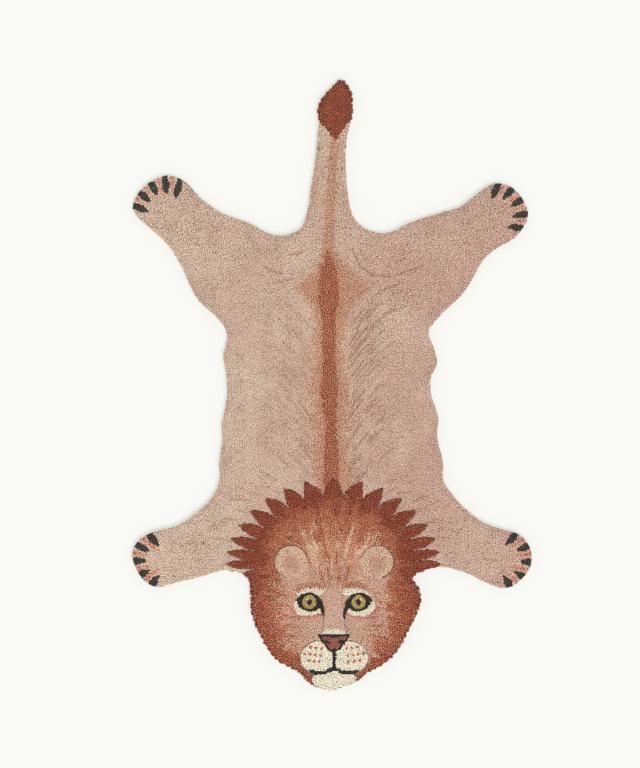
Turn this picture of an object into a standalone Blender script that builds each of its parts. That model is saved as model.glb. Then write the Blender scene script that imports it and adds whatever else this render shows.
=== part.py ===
"""Small hand-tufted wool rug in the shape of a lion's hide, lying flat.

The rug is one piece: a cut pile tufted through one backing cloth, so it is one
flat solid with the outline of the whole animal, seen from above with the tail
up (+Y), the head down (-Y) and the four paws spread to the sides.

Units are metres, +Z is up.  The origin is on the underside, in the middle of
the rug's length and width.  The outline tables are in millimetres: "across" is
the distance from the long axis, negative where the edge has crossed it, and
"along" is the place on it, tail end positive.
"""

import math
import random

import bmesh
import bpy
from mathutils import Vector

MM = 0.001

# Driving sizes
LENGTH = 0.920            # tail tip to chin
WIDTH = 0.602             # forepaw to forepaw
THICKNESS = 0.014         # backing and cut pile together
BACKING_SET_IN = 0.0025   # the backing stops short of the pile, which leans out over it
CROWN_SET_IN = 0.0030     # the clipped pile is rounded off at its edge
EDGE_STEP = 0.0085        # spacing of the points along the smooth edges

# Ragged edges: locks of longer yarn round the mane and on the tail's tuft
LOCK_PITCH = 0.0095
LOCK_DEPTH = 0.0030        # how far the longest lock stands out
LEAST_LOCK = 0.35          # the shortest lock, as a part of the longest
INNER_LOCK = -0.4          # the dip between two locks, against the lock's reach
LOCK_SEED = 7

SMOOTH = "smooth"
RAGGED = "ragged"

# Each table is one stretch of the two side edges, from the tail's tip to the chin.
# The left and right edges have their own columns, because the rug is cut by hand
# and its sides differ a little.

# place,            left across, along,   right across, along
TAIL_TUFT = (
    ("neck",               -5,    452,          22,    454),
    ("shoulder",            4,    443,          29,    440),
    ("widest",             18,    422,          31,    422),
    ("foot",               18,    399,          29,    399),
)

TAIL = (
    ("upper",              21,    370,          23,    373),
    ("middle",             24,    338,          21,    340),
    ("lower",              30,    301,          23,    302),
    ("root",               37,    257,          30,    261),
    ("corner",             48,    234,          42,    242),
    ("rump",               77,    225,          68,    230),
)

HIND_LEG = (
    ("hip",                97,    229,          92,    231),
    ("thigh",             122,    243,         115,    243),
    ("thigh front",       165,    259,         160,    258),
    ("shank front",       199,    283,         197,    270),
    ("ankle front",       220,    306,         222,    290),
    ("paw top",           248,    316,         246,    304),
    ("outer toes",        275,    305,         273,    297),
    ("paw corner",        294,    284,         291,    275),
    ("heel pad",          299,    264,         296,    253),
    ("ankle back",        266,    231,         277,    223),
    ("shank back",        242,    207,         249,    207),
    ("hock",              225,    178,         229,    189),
    ("thigh back",        201,    129,         200,    141),
    ("knee fold",         175,    105,         158,     99),
    ("groin",             158,     82,         146,     80),
)

FLANK = (
    ("waist",             158,     62,         153,     60),
    ("first scallop",     163,     44,         159,     34),
    ("first dip",         159,     22,         149,     10),
    ("last rib",          157,    -18,         150,    -14),
    ("second scallop",    165,    -60,         161,    -50),
    ("second dip",        164,    -83,         159,    -77),
    ("chest",             169,   -119,         168,   -118),
    ("arm pit",           168,   -143,         168,   -143),
)

FORELEG = (
    ("shoulder",          179,   -169,         184,   -168),
    ("upper arm",         205,   -194,         206,   -191),
    ("forearm",           234,   -213,         234,   -210),
    ("wrist",             266,   -221,         262,   -219),
    ("paw top",           288,   -233,         285,   -227),
    ("paw corner",        300,   -252,         299,   -246),
    ("outer toes",        295,   -275,         301,   -269),
    ("lower toes",        278,   -298,         288,   -291),
    ("heel pad",          262,   -304,         263,   -306),
    ("forearm back",      233,   -297,         233,   -297),
    ("elbow",             203,   -290,         204,   -283),
    ("neck corner",       160,   -278,         168,   -274),
)

MANE = (
    ("lowest lock",       148,   -279,         150,   -275),
    ("under the lock",    125,   -289,         121,   -290),
    ("upper cheek",       121,   -313,         132,   -310),
    ("cheek",             119,   -343,         133,   -330),
    ("lower cheek",       111,   -366,         124,   -353),
    ("jaw",                99,   -389,         112,   -374),
    ("lower jaw",          87,   -408,         100,   -398),
    ("beard side",         67,   -422,          79,   -418),
    ("beard",              47,   -433,          55,   -432),
)

CHIN = (
    ("mouth corner",       40,   -442,          44,   -442),
    ("chin side",          24,   -454,          27,   -452),
)

TAIL_TIP = (14, 460)
CHIN_MIDDLE = (-2, -460)

# stretch, kind of edge along it
STRETCHES = (
    (TAIL_TUFT, RAGGED),
    (TAIL, SMOOTH),
    (HIND_LEG, SMOOTH),
    (FLANK, SMOOTH),
    (FORELEG, SMOOTH),
    (MANE, RAGGED),
    (CHIN, SMOOTH),
)

# Section through the rug's edge: part of the thickness, set in from the outline
EDGE_SECTION = (
    (0.00, BACKING_SET_IN),
    (0.32, 0.0),
    (0.72, 0.0),
    (1.00, CROWN_SET_IN),
)

PILE_COLOUR = (0.56, 0.38, 0.29, 1.0)
PILE_ROUGHNESS = 0.95


def clear_scene():
    for obj in list(bpy.data.objects):
        bpy.data.objects.remove(obj, do_unlink=True)


def landmarks():
    """The outline's landmarks counter-clockwise, each with its kind of edge."""
    left = [(Vector((-row[1], row[2])), kind) for table, kind in STRETCHES for row in table]
    right = [(Vector((row[3], row[4])), kind) for table, kind in STRETCHES for row in table]
    ring = [(Vector(TAIL_TIP), RAGGED)] + left + [(Vector(CHIN_MIDDLE), SMOOTH)] + right[::-1]
    return [(point * MM, kind) for point, kind in ring]


def through(before, start, end, after, part):
    """A point on a centripetal Catmull-Rom curve between start and end."""
    knots = [0.0]
    for a, b in ((before, start), (start, end), (end, after)):
        knots.append(knots[-1] + math.sqrt((b - a).length))
    k0, k1, k2, k3 = knots
    k = k1 + (k2 - k1) * part
    a1 = before.lerp(start, (k - k0) / (k1 - k0))
    a2 = start.lerp(end, (k - k1) / (k2 - k1))
    a3 = end.lerp(after, (k - k2) / (k3 - k2))
    b1 = a1.lerp(a2, (k - k0) / (k2 - k0))
    b2 = a2.lerp(a3, (k - k1) / (k3 - k1))
    return b1.lerp(b2, (k - k1) / (k2 - k1))


def edge_points():
    """Evenly spaced points on the smooth outline, each with its kind of edge."""
    marks = landmarks()
    count = len(marks)
    points = []
    for index, (start, kind) in enumerate(marks):
        end, next_kind = marks[(index + 1) % count]
        before = marks[index - 1][0]
        after = marks[(index + 2) % count][0]
        ragged = kind == RAGGED and next_kind == RAGGED
        step = LOCK_PITCH / 2 if ragged else EDGE_STEP
        spans = max(1, round((end - start).length / step))
        for span in range(spans):
            point = through(before, start, end, after, span / spans)
            points.append((point, RAGGED if ragged else SMOOTH))
    return points


def outward_normals(points):
    """Unit normals that point out of a counter-clockwise ring."""
    normals = []
    for index in range(len(points)):
        run = points[(index + 1) % len(points)] - points[index - 1]
        normals.append(Vector((run.y, -run.x)).normalized())
    return normals


def outlines():
    """The smooth outline, and the true one with its ragged locks of yarn.

    Both are brought to the driving length and width, and centred on the origin.
    """
    marked = edge_points()
    smooth = [point for point, kind in marked]
    normals = outward_normals(smooth)
    draw = random.Random(LOCK_SEED)
    true = []
    for index, (point, kind) in enumerate(marked):
        reach = 0.0
        if kind == RAGGED:
            side = 1.0 if index % 2 else INNER_LOCK
            reach = side * LOCK_DEPTH * draw.uniform(LEAST_LOCK, 1.0)
        true.append(point + normals[index] * reach)
    low = Vector((min(p.x for p in true), min(p.y for p in true)))
    high = Vector((max(p.x for p in true), max(p.y for p in true)))
    middle = (low + high) / 2
    scale = Vector((WIDTH / (high.x - low.x), LENGTH / (high.y - low.y)))
    return [[(p - middle) * scale for p in ring] for ring in (smooth, true)]


def wool_material():
    material = bpy.data.materials.new("wool_pile")
    material.use_nodes = True
    shader = material.node_tree.nodes["Principled BSDF"]
    shader.inputs["Base Color"].default_value = PILE_COLOUR
    shader.inputs["Roughness"].default_value = PILE_ROUGHNESS
    shader.inputs["Metallic"].default_value = 0.0
    return material


def build_rug():
    """One closed solid: the outline's rings, bridged, with a flat face each way."""
    smooth, true = outlines()
    normals = outward_normals(smooth)
    mesh = bmesh.new()
    rings = []
    for height, set_in in EDGE_SECTION:
        base = true if set_in == 0.0 else [p - n * set_in for p, n in zip(smooth, normals)]
        rings.append([mesh.verts.new((p.x, p.y, THICKNESS * height)) for p in base])
    for lower, upper in zip(rings, rings[1:]):
        for index in range(len(lower)):
            after = (index + 1) % len(lower)
            mesh.faces.new((lower[index], lower[after], upper[after], upper[index]))
    mesh.faces.new(rings[0][::-1])
    mesh.faces.new(rings[-1])
    mesh.normal_update()
    bmesh.ops.triangulate(mesh, faces=mesh.faces, ngon_method="BEAUTY")
    data = bpy.data.meshes.new("rug")
    mesh.to_mesh(data)
    mesh.free()
    rug = bpy.data.objects.new("rug", data)
    rug.data.materials.append(wool_material())
    bpy.context.scene.collection.objects.link(rug)
    return rug


def main():
    clear_scene()
    build_rug()


main()
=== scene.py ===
"""Looks of a small hand-tufted wool rug in the shape of a lion's hide.

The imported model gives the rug's outline and thickness.  On a thin backing stand
about 77,000 cut tufts of yarn, each a closed bud of its own.  A tuft's place in
the design picks its yarn, strand by strand, and the carved lines lower and part
the tufts along them.

Lengths in the design tables are millimetres in the model's frame: "across" is +X,
"along" is +Y, with the tail at +Y and the head at -Y.  Angles are in degrees.
"""

import math
from collections import namedtuple

import bmesh
import bpy
import numpy as np
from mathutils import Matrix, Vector


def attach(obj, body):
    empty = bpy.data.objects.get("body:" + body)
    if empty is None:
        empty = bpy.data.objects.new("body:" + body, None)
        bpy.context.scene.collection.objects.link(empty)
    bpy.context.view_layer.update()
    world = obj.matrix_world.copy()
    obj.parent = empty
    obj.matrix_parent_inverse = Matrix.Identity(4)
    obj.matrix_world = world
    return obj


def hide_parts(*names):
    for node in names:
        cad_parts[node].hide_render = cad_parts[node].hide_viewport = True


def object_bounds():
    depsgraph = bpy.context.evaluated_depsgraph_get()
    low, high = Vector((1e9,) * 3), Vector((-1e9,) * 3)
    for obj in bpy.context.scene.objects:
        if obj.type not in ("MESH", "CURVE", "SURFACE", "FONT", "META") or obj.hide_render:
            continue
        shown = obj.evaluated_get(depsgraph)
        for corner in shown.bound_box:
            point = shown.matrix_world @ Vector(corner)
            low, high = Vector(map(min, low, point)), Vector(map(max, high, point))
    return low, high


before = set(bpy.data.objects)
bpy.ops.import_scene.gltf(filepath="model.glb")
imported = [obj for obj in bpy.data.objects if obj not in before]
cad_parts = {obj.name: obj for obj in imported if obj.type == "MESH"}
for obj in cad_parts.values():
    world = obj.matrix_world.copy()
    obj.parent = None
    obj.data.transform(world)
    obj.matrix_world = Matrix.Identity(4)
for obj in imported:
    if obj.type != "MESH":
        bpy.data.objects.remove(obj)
cad_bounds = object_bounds()

MM = 0.001
draw = np.random.default_rng(20)

# ---- pile sizes
TUFT_PITCH, TUFT_JITTER = 2.0, 0.26  # from tuft to tuft, and as a part of that
PILE_TOP = 13.2  # tips of the coat's tufts above the floor
MANE_RISE = 0.9  # the mane is clipped this much higher
BED_TOP = 8.0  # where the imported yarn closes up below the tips
TIP_SPREAD = 0.32  # how unevenly the tips are clipped
TIP_LEAN, TIP_STRAY = 0.22, 0.14  # of a tuft's top, and of its tip alone
SHOULDER_DROP = (0.63, 1.575)  # of a tuft's shoulder under its tip
SHOULDER_SIZE = (0.8835, 0.9858)  # of the tuft's cell
SHOULDER_LEAN = 0.8  # of the tip's lean
ROOT_SIZE, ROOT_POINT = 0.92, 0.5  # a single root runs to a point this much lower
LEAST_PILE = 2.5  # every groove leaves this much yarn over the outermost roots
EDGE_ROOT = 1.4  # roots of the outermost tufts
EDGE_BAND = 6.5  # the pile leans out and rounds off within this of the edge
EDGE_DROP, EDGE_SHOULDER_DROP, EDGE_LEAN = 2.7, 0.7, 1.2
EDGE_SHIFT = 1.5  # of the outermost roots, inwards
ROOTED_BAND = (1.0, 5.525)  # this far from the edge roots rise to the bed
FULL_BAND = 4.4  # tufts within this of the edge keep their width down to the root
FITTED_BAND = 3.2  # cells within this of the edge are squeezed to fit it
LEAST_DEPTH = 0.8  # no tuft's middle is nearer to the edge
OUTSIDE = 0.7  # tufts this far past the edge are moved in
LEAST_CELL = 1.12  # a cell squeezed below this area is left out
SHAGGY_REACH, SHAGGY_BAND = 1.4, 2.4  # longer yarn at the edge of the mane and the tail tuft
STRANDS = 3  # in each tuft

# ---- yarns
# yarn,         its look in the pile,  how uneven its tufts are
YARNS = (
    ("coat",        (204, 181, 161), 13),
    ("coat_pink",   (195, 160, 144), 13),
    ("furrow",      (174, 141, 119), 17),
    ("furrow_pink", (183, 143, 124), 17),
    ("tan_rust",    (181, 132, 103), 25),
    ("stripe",      (159, 92, 61),   34),
    ("tuft",        (137, 68, 42),   18),
    ("lock",        (131, 57, 32),   22),
    ("mane",        (164, 94, 62),   30),
    ("mane_gold",   (196, 146, 114), 28),
    ("face",        (195, 160, 138), 22),
    ("cream",       (226, 215, 194), 14),
    ("coral",       (192, 108, 86),  18),
    ("rose",        (152, 84, 76),   18),
    ("black",       (38, 34, 29),    8),
    ("claw",        (56, 57, 50),    12),
    ("iris",        (176, 150, 84),  16),
    ("sand",        (214, 182, 155), 18),
)
YARN_GAIN = 1.21  # the pile shades itself
STRAND_SPREAD = 0.5  # between a tuft's strands, against the tufts
TONE_PASSES = 3  # each sets tufts further off their neighbours
SPECKS = ((140, 200), (0.06, -0.30))  # dark yarns have lighter specks, and light ones darker
FLECK, FINE_FLECK = 0.085, 0.065  # lighter and darker fibres, as steps in a yarn's look
LOOK_GAMMA = 2.2
INDEX = {row[0]: number for number, row in enumerate(YARNS)}


def to_linear(shade):
    value = np.maximum(shade, 0) / 255
    return np.where(value <= 0.04045, value / 12.92, ((value + 0.055) / 1.055) ** 2.4)


# ---- helpers
def smooth(value):
    value = np.clip(value, 0, 1)
    return value * value * (3 - 2 * value)


def fade(value, start, end):
    """From 0 at start to 1 at end."""
    return np.clip((value - start) / (end - start), 0, 1)


def blend(pair, share):
    """From a pair's first value at 0 to its second at 1."""
    return pair[0] + (pair[1] - pair[0]) * share


def soft_noise(x, y, size, seed):
    """Smooth noise from 0 to 1 with blotches of the given size."""
    table = np.random.default_rng(seed).random((256, 256))
    u, v = x / size + 1000, y / size + 1000
    i, j = np.floor(u).astype(int), np.floor(v).astype(int)
    a, b = smooth(u - i), smooth(v - j)
    low = table[i % 256, j % 256] * (1 - a) + table[(i + 1) % 256, j % 256] * a
    high = table[i % 256, (j + 1) % 256] * (1 - a) + table[(i + 1) % 256, (j + 1) % 256] * a
    return low * (1 - b) + high * b


def flames(x, y, middle, width, length, seed):
    """Noise from -0.5 to 0.5 in streaks that run out from a middle, their width in degrees."""
    dx, dy = x - middle[0], y - middle[1]
    turn = np.degrees(np.arctan2(dx, dy))
    return soft_noise(turn / width, np.hypot(dx, dy) / length, 1.0, seed) - 0.5


def turned(x, y, angle):
    """Coordinates in axes turned by an angle."""
    c, s = math.cos(math.radians(angle)), math.sin(math.radians(angle))
    return x * c + y * s, y * c - x * s


def around(middle, radius, angle):
    """The point at a radius and an angle from a middle."""
    return (middle[0] + radius * math.cos(math.radians(angle)),
            middle[1] + radius * math.sin(math.radians(angle)))


def in_oval(x, y, oval):
    """1 on the rim of an oval, 0 in its middle."""
    u, v = turned(x - oval.aside, y - oval.along, oval.tilt)
    return np.hypot(u / oval.half_width, v / oval.half_height)


def to_path(x, y, path, closed=False):
    """Distance to a path, the offset to its nearest point, and how far along that is."""
    path = np.asarray(path, float)
    start = path if closed else path[:-1]
    run = (np.roll(path, -1, axis=0) if closed else path[1:]) - start
    square = (run ** 2).sum(1)
    best, offset, place = np.empty(len(x)), np.empty((len(x), 2)), np.empty(len(x))
    for first in range(0, len(x), 4000):
        part = slice(first, first + 4000)
        point = np.stack([x[part], y[part]], 1)[:, None]
        share = np.clip(((point - start) * run).sum(2) / square, 0, 1)
        away = start + run * share[:, :, None] - point
        gap = (away ** 2).sum(2)
        pick = gap.argmin(1)
        rows = np.arange(len(pick))
        best[part] = np.sqrt(gap[rows, pick])
        offset[part] = away[rows, pick]
        place[part] = (pick + share[rows, pick]) / len(start)
    return best, offset, place


def near_path(x, y, path, margin):
    """Which points lie in a path's box with a margin round it."""
    low, high = np.min(path, 0) - margin, np.max(path, 0) + margin
    return (x > low[0]) & (x < high[0]) & (y > low[1]) & (y < high[1])


def inside(x, y, ring):
    """Whether each point lies in a closed ring."""
    crossings = np.zeros(len(x), bool)
    for a, b in zip(ring, np.roll(ring, -1, axis=0)):
        spans = (a[1] > y) != (b[1] > y)
        if spans.any():
            crossings ^= spans & (x < (b[0] - a[0]) * (y - a[1]) / (b[1] - a[1]) + a[0])
    return crossings


def add_object(name, data):
    made = bpy.data.objects.new(name, data)
    bpy.context.scene.collection.objects.link(made)
    return made


# ---- the rug's edge
def signed_area(rings):
    after = np.roll(rings, -1, axis=1)
    return 0.5 * (rings[..., 0] * after[..., 1] - rings[..., 1] * after[..., 0]).sum(1)


def rug_outline():
    """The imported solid's widest ring, as an anticlockwise loop of points."""
    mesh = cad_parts["rug"].data
    place = np.array([v.co for v in mesh.vertices]) / MM
    heights = np.unique(np.round(place[:, 2], 2))
    level = heights[heights < heights.mean()].max()
    key = [tuple(np.round(p[:2], 3)) for p in place]
    beside = {}
    for edge in mesh.edges:
        a, b = edge.vertices
        if max(abs(place[a, 2] - level), abs(place[b, 2] - level)) < 0.01 and key[a] != key[b]:
            beside.setdefault(key[a], set()).add(key[b])
            beside.setdefault(key[b], set()).add(key[a])
    ring = [min(beside)]
    ring.append(min(beside[ring[0]]))
    while len(ring) < len(beside):
        ring.append(next(k for k in beside[ring[-1]] if k != ring[-2]))
    ring = np.array(ring)
    return ring if signed_area(ring[None])[0] > 0 else ring[::-1]


def edge_field(x, y):
    """Distance inside the outline, and the unit direction out of it."""
    gap, offset, _ = to_path(x, y, OUTLINE, closed=True)
    sign = np.where(inside(x, y, OUTLINE), 1.0, -1.0)
    return gap * sign, offset / np.maximum(gap, 1e-6)[:, None] * sign[:, None]


OUTLINE = rug_outline()

# ---- coat design
# Noise on the design and in the pile: size of its blotches, its seed, its whole swing
RAGGED = {
    "stripe core":  (4, 11, 3),
    "stripe sides": (9, 15, 8),
    "diamond":      (6, 12, 0.16),
    "tail line":    (5, 16, 2),
    "tail sides":   (7, 18, 10),
    "tail tuft":    (3.6, 13, 7),
    "claws":        (2.5, 14, 1.2),
    "mane":         (8, 72, 1),
    "face lines":   (2.2, 41, 1.4),
    "face areas":   (8, 42, 0.2),
    "pink blotch":  (34, 51, 0.6),
    "pink area":    (90, 54, 0.5),
    "pile top":     (38, 61, 1),
    "lean across":  (24, 62, 0.5),
    "lean along":   (24, 63, 0.5),
}

# The stripe on the spine: along, middle, half width of its core and of its soft sides
STRIPE = (
    (208, -5, 0, 2),
    (194, -5, 4.5, 9),
    (184, -5, 8.5, 13),
    (166, -5, 13.5, 18),
    (141, -5, 16, 20),
    (126, -5, 16, 21),
    (112, -5, 12.5, 21),
    (100, -4.5, 9.5, 21),
    (71, -5, 9.5, 20),
    (38, -4.5, 9.5, 21),
    (8, -4, 12, 26),
    (-12, -4, 13, 29),
    (-31, -3.5, 11, 26),
    (-53, -1.5, 8.5, 28),
    (-72, -1.5, 9, 24),
    (-102, -1, 11, 24),
    (-133, -1, 11.5, 27),
    (-160, -1, 11, 26),
)
STRIPE_BLUR = 1.4
SIDES_BEYOND, SIDES_COVER = 3, 0.85  # the soft sides end this far past their half width
GLOW_BEYOND, GLOW_COVER = 14, 0.36  # and the paler yarn outside them this far

RUMP_DIAMOND = {"across": 2, "along": 147, "half_width": 63, "up": 62, "down": 76}
DIAMOND_BOW = 0.9  # below 1 its sides bow inwards
DIAMOND_EDGE = (1.1, 0.78)  # where its yarn starts and is densest, as parts of its size
DIAMOND_COVER = 0.85

TAIL_LINE = ((-4.5, 206), (-4, 235), (-2, 262), (0.5, 318), (4, 372))
TAIL_LINE_HALF_WIDTH, TAIL_LINE_COVER = (8.58, 5.808), (0.78, 0.64)  # at its root and its upper end
TAIL_LINE_BLUR = (1.5, 2.5)  # outwards and inwards of its edge
TAIL_LINE_PINK, PINK_COVER = 0.45, 0.5  # the part from its root with pink yarn in it
TAIL_SIDES = (16, 4)  # brownish yarn starts and is densest this far from the line
TAIL_SIDES_RISE, TAIL_SIDES_COVER = (0.35, 0.7), 0.4  # beside the line's upper part only
TAIL_TUFT_POINT, TAIL_TUFT_SLOPE = (4.5, 370), 1.22

# Furrows in the coat: rows of strokes that rise outwards from the spine
FURROW_AXIS = -3
FURROW_FIRST, FURROW_LAST, FURROW_STEP = 76, -172, 9.5
FURROW_ASIDE, FURROW_REACH = 25, 78
FURROW_RISE, FURROW_BEND = 1.55, 0.50
FURROW_HALF_WIDTH, FURROW_BLUR = 1.8, 0.9
FURROW_ENDS, FURROW_SWELL = 0.5, 0.7  # half width at a stroke's ends, and what is added midway
FURROW_DASHES = 3  # strokes in a row
DASH_DELAY, DASH_LENGTH = (0, 0.35), (0.2, 0.36)  # of a dash's share, and of the row
DASH_LIFT, DASH_STRENGTH = 3, (0.25, 1)
DASH_FADING = 0.25  # each dash further out is this much weaker
SIDE_STRENGTH = {-1: 0.76, 1: 1}
PINK_DASHES = 0.4

# Longer strokes on the haunches: points across and along, their strength, and which are pink
HAUNCH_STROKES = (
    (((30, 206), (42, 180), (62, 166), (92, 164), (136, 180)), 0.75, False),
    (((78, 184), (94, 184), (112, 192)), 0.6, True),
    (((42, 204), (50, 193), (60, 186)), 0.5, True),
    (((60, 134), (82, 146), (108, 155)), 0.7, False),
    (((78, 106), (96, 114), (112, 120)), 0.7, True),
    (((38, 84), (45, 100), (58, 116)), 0.8, False),
    (((50, 74), (62, 92), (84, 108)), 0.6, True),
    (((96, 136), (112, 146), (120, 150)), 0.4, True),
    (((-104, 180), (-92, 172), (-72, 168)), 0.8, True),
    (((-90, 155), (-74, 156), (-56, 162)), 0.7, True),
    (((-66, 197), (-52, 198), (-36, 206)), 0.7, True),
    (((-44, 92), (-56, 112), (-66, 122)), 0.5, True),
    (((-60, 96), (-76, 112), (-90, 120)), 0.4, False),
    (((-30, 190), (-38, 178), (-48, 170)), 0.4, True),
)
# Short pink strokes on the shoulders: across, along, length, angle on the right side
SHOULDER_STROKES = (
    (100, -140, 30, 30),
    (122, -150, 28, 18),
    (136, -170, 34, 12),
    (112, -166, 24, 8),
    (134, -188, 30, 4),
    (168, -206, 32, -14),
    (150, -204, 28, -8),
    (176, -216, 34, -20),
    (160, -232, 26, 8),
    (92, -156, 24, 34),
)
SHOULDER_STRAY = (6, 5, 8)  # how far they stray across, along and in angle
SHOULDER_BOW, SHOULDER_STRENGTH = 1.5, (0.35, 0.65)

# paw, centre across, along, first and last claw's place on the rim, how far the claws fan
PAWS = (
    ("hind left",  -255, 269, 178, 55, 0.65),
    ("hind right",  252, 260, 92, -33, 0.55),
    ("fore left",  -261, -264, 111, 251, 0.72),
    ("fore right",  264, -264, 71, -81, 0.68),
)
CLAWS, CLAW_LENGTH, CLAW_HALF_WIDTH = 5, 23, 5.6
CLAW_TAPER = 0.62  # how round a claw's inner half is
CLAW_PINCH, CLAW_PINCHED = 0.3, (-8, 3)  # its outer end narrows by this part, between these places
CLAW_RIM, CLAW_OVER = 42, 12  # radius of the circle they lie on, and how far they run past it
# Coral and sandy streaks between the claws.  The first pairs are for hind paws and forepaws.
STREAK_REACH, STREAK_COVER = (18, 23), (0.15, 0.40)
STREAK_STEP = 5  # some are once or twice this longer
STREAK_HALF_WIDTH, STREAK_TIP = (1.8, 4.6), 14  # at its inner tip, and this far from it
STREAK_CORE, STREAK_NOISE, STREAK_BLOTCHES = 0.8, (4.5, 17), 0.7
STREAK_SAND, SAND_COVER = (8, 4), 0.5


def ragged(x, y, name):
    """Noise round 0 from its row of the table."""
    size, seed, swing = RAGGED[name]
    return (soft_noise(x, y, size, seed) - 0.5) * swing


def spine_stripe(x, y):
    """Covers of the stripe's core, of its soft sides and of the paler yarn outside them."""
    rows = np.array(STRIPE)[::-1]
    middle, core, side = (np.interp(y, rows[:, 0], rows[:, n]) for n in (1, 2, 3))
    there = (y < STRIPE[0][0]) & (y > STRIPE[-1][0])
    off = np.abs(x - middle) + ragged(x, y, "stripe core")
    heart = fade(off, core + STRIPE_BLUR, core - STRIPE_BLUR)
    off = off + ragged(x, y, "stripe sides")
    sides = SIDES_COVER * np.sqrt(fade(off, side + SIDES_BEYOND, core))
    glow = GLOW_COVER * fade(off, side + GLOW_BEYOND, side)
    return heart * there, sides * there, glow * there


def rump_diamond(x, y):
    d = RUMP_DIAMOND
    reach = np.where(y > d["along"], d["up"], d["down"])
    across, along = np.abs(x - d["across"]) / d["half_width"], np.abs(y - d["along"]) / reach
    size = across ** DIAMOND_BOW + along ** DIAMOND_BOW + ragged(x, y, "diamond")
    return DIAMOND_COVER * fade(size, *DIAMOND_EDGE)


def tail_line(x, y):
    """Covers of the line, of the pink yarn in it and of its brownish sides."""
    gap, _, place = to_path(x, y, TAIL_LINE)
    width = blend(TAIL_LINE_HALF_WIDTH, place)
    outer, inner = width + TAIL_LINE_BLUR[0], width - TAIL_LINE_BLUR[1]
    line = fade(gap + ragged(x, y, "tail line"), outer, inner) * blend(TAIL_LINE_COVER, place)
    sides = fade(gap + ragged(x, y, "tail sides"), *TAIL_SIDES) * fade(place, *TAIL_SIDES_RISE)
    return line, PINK_COVER * line * (place < TAIL_LINE_PINK), TAIL_SIDES_COVER * sides


def tail_tuft(x, y):
    px, py = TAIL_TUFT_POINT
    return y > py + np.abs(x - px) * TAIL_TUFT_SLOPE + ragged(x, y, "tail tuft")


def claw_places():
    """Each claw's rim point and direction, and the same for the gaps between claws."""
    claws, gaps = [], []
    for _, across, along, first, last, fan in PAWS:
        middle = (first + last) / 2
        for number in range(2 * CLAWS - 1):
            rim = first + (last - first) * number / (2 * CLAWS - 2)
            place = (*around((across, along), CLAW_RIM, rim), middle + (rim - middle) * fan)
            (gaps if number % 2 else claws).append(place)
    return claws, gaps


def claw_cover(x, y):
    cover, wobble = np.zeros(len(x)), ragged(x, y, "claws")
    for across, along, aim in claw_places()[0]:
        u, v = turned(x - across, y - along, aim)
        back = (u + CLAW_LENGTH) / CLAW_LENGTH
        width = CLAW_HALF_WIDTH * np.clip(back * 2, 0, 1) ** CLAW_TAPER
        width *= 1 - CLAW_PINCH * fade(u, *CLAW_PINCHED)
        cover = np.maximum(cover, (back > 0) & (u < CLAW_OVER) & (np.abs(v) + wobble < width))
    return cover


def toe_streaks(x, y):
    """Covers of the coral and of the sandy streaks between the claws."""
    coral, sand = np.zeros(len(x)), np.zeros(len(x))
    blotches = STREAK_BLOTCHES * soft_noise(x, y, *STREAK_NOISE)
    for number, (across, along, aim) in enumerate(claw_places()[1]):
        u, v = turned(x - across, y - along, aim)
        paw = int(along < 0)
        reach = STREAK_REACH[paw] + STREAK_STEP * (number % 3)
        there = (u > -reach) & (u < CLAW_OVER)
        sway = math.sin(2.1 * number)
        width = blend(STREAK_HALF_WIDTH, fade(u, -reach, STREAK_TIP - reach))
        streak = fade(np.abs(v - sway), width, STREAK_CORE) * (STREAK_COVER[paw] + blotches)
        coral = np.maximum(coral, there * streak)
        sand = np.maximum(sand, there * fade(np.abs(v), *STREAK_SAND) * SAND_COVER)
    return coral, sand


def furrow_strokes():
    """Each stroke's path, its strength, and whether it is a pink one."""
    pick = np.random.default_rng(31)
    strokes = []
    for side in (-1, 1):
        for along in np.arange(FURROW_FIRST, FURROW_LAST, -FURROW_STEP):
            for dash in range(FURROW_DASHES):
                start = (dash + pick.uniform(*DASH_DELAY)) / FURROW_DASHES
                end = start + pick.uniform(*DASH_LENGTH)
                lift = pick.uniform(-DASH_LIFT, DASH_LIFT)
                t = np.linspace(start, end, 5)
                aside = FURROW_ASIDE + FURROW_REACH * t
                rise = FURROW_REACH * (FURROW_RISE * t - FURROW_BEND * t * t)
                path = np.stack([side * aside + FURROW_AXIS, along + lift + rise], 1)
                strength = pick.uniform(*DASH_STRENGTH) * SIDE_STRENGTH[side] * (1 - DASH_FADING * dash)
                strokes.append((path, strength, pick.random() < PINK_DASHES))
    strokes += HAUNCH_STROKES
    for side in (-1, 1):
        for across, along, length, angle in SHOULDER_STROKES:
            placed = zip((across, along, angle), SHOULDER_STRAY)
            across, along, tilt = (value + pick.uniform(-stray, stray) for value, stray in placed)
            ends = [around((across, along), length / 2, turn) for turn in (tilt + 180, tilt)]
            path = [(side * p, q) for p, q in (ends[0], (across, along + SHOULDER_BOW), ends[1])]
            strokes.append((path, pick.uniform(*SHOULDER_STRENGTH), True))
    return strokes


STROKES = furrow_strokes()


def furrows(x, y):
    """Covers of the plain and of the pink furrows."""
    covers = [np.zeros(len(x)), np.zeros(len(x))]
    for path, strength, pink in STROKES:
        near = near_path(x, y, path, 3 * FURROW_HALF_WIDTH)
        gap, _, place = to_path(x[near], y[near], path)
        width = FURROW_HALF_WIDTH * (FURROW_ENDS + FURROW_SWELL * np.sqrt(np.sin(place * math.pi)))
        cover = strength * fade(gap, width + FURROW_BLUR, width - FURROW_BLUR)
        covers[pink][near] = np.maximum(covers[pink][near], cover)
    return covers


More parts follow.
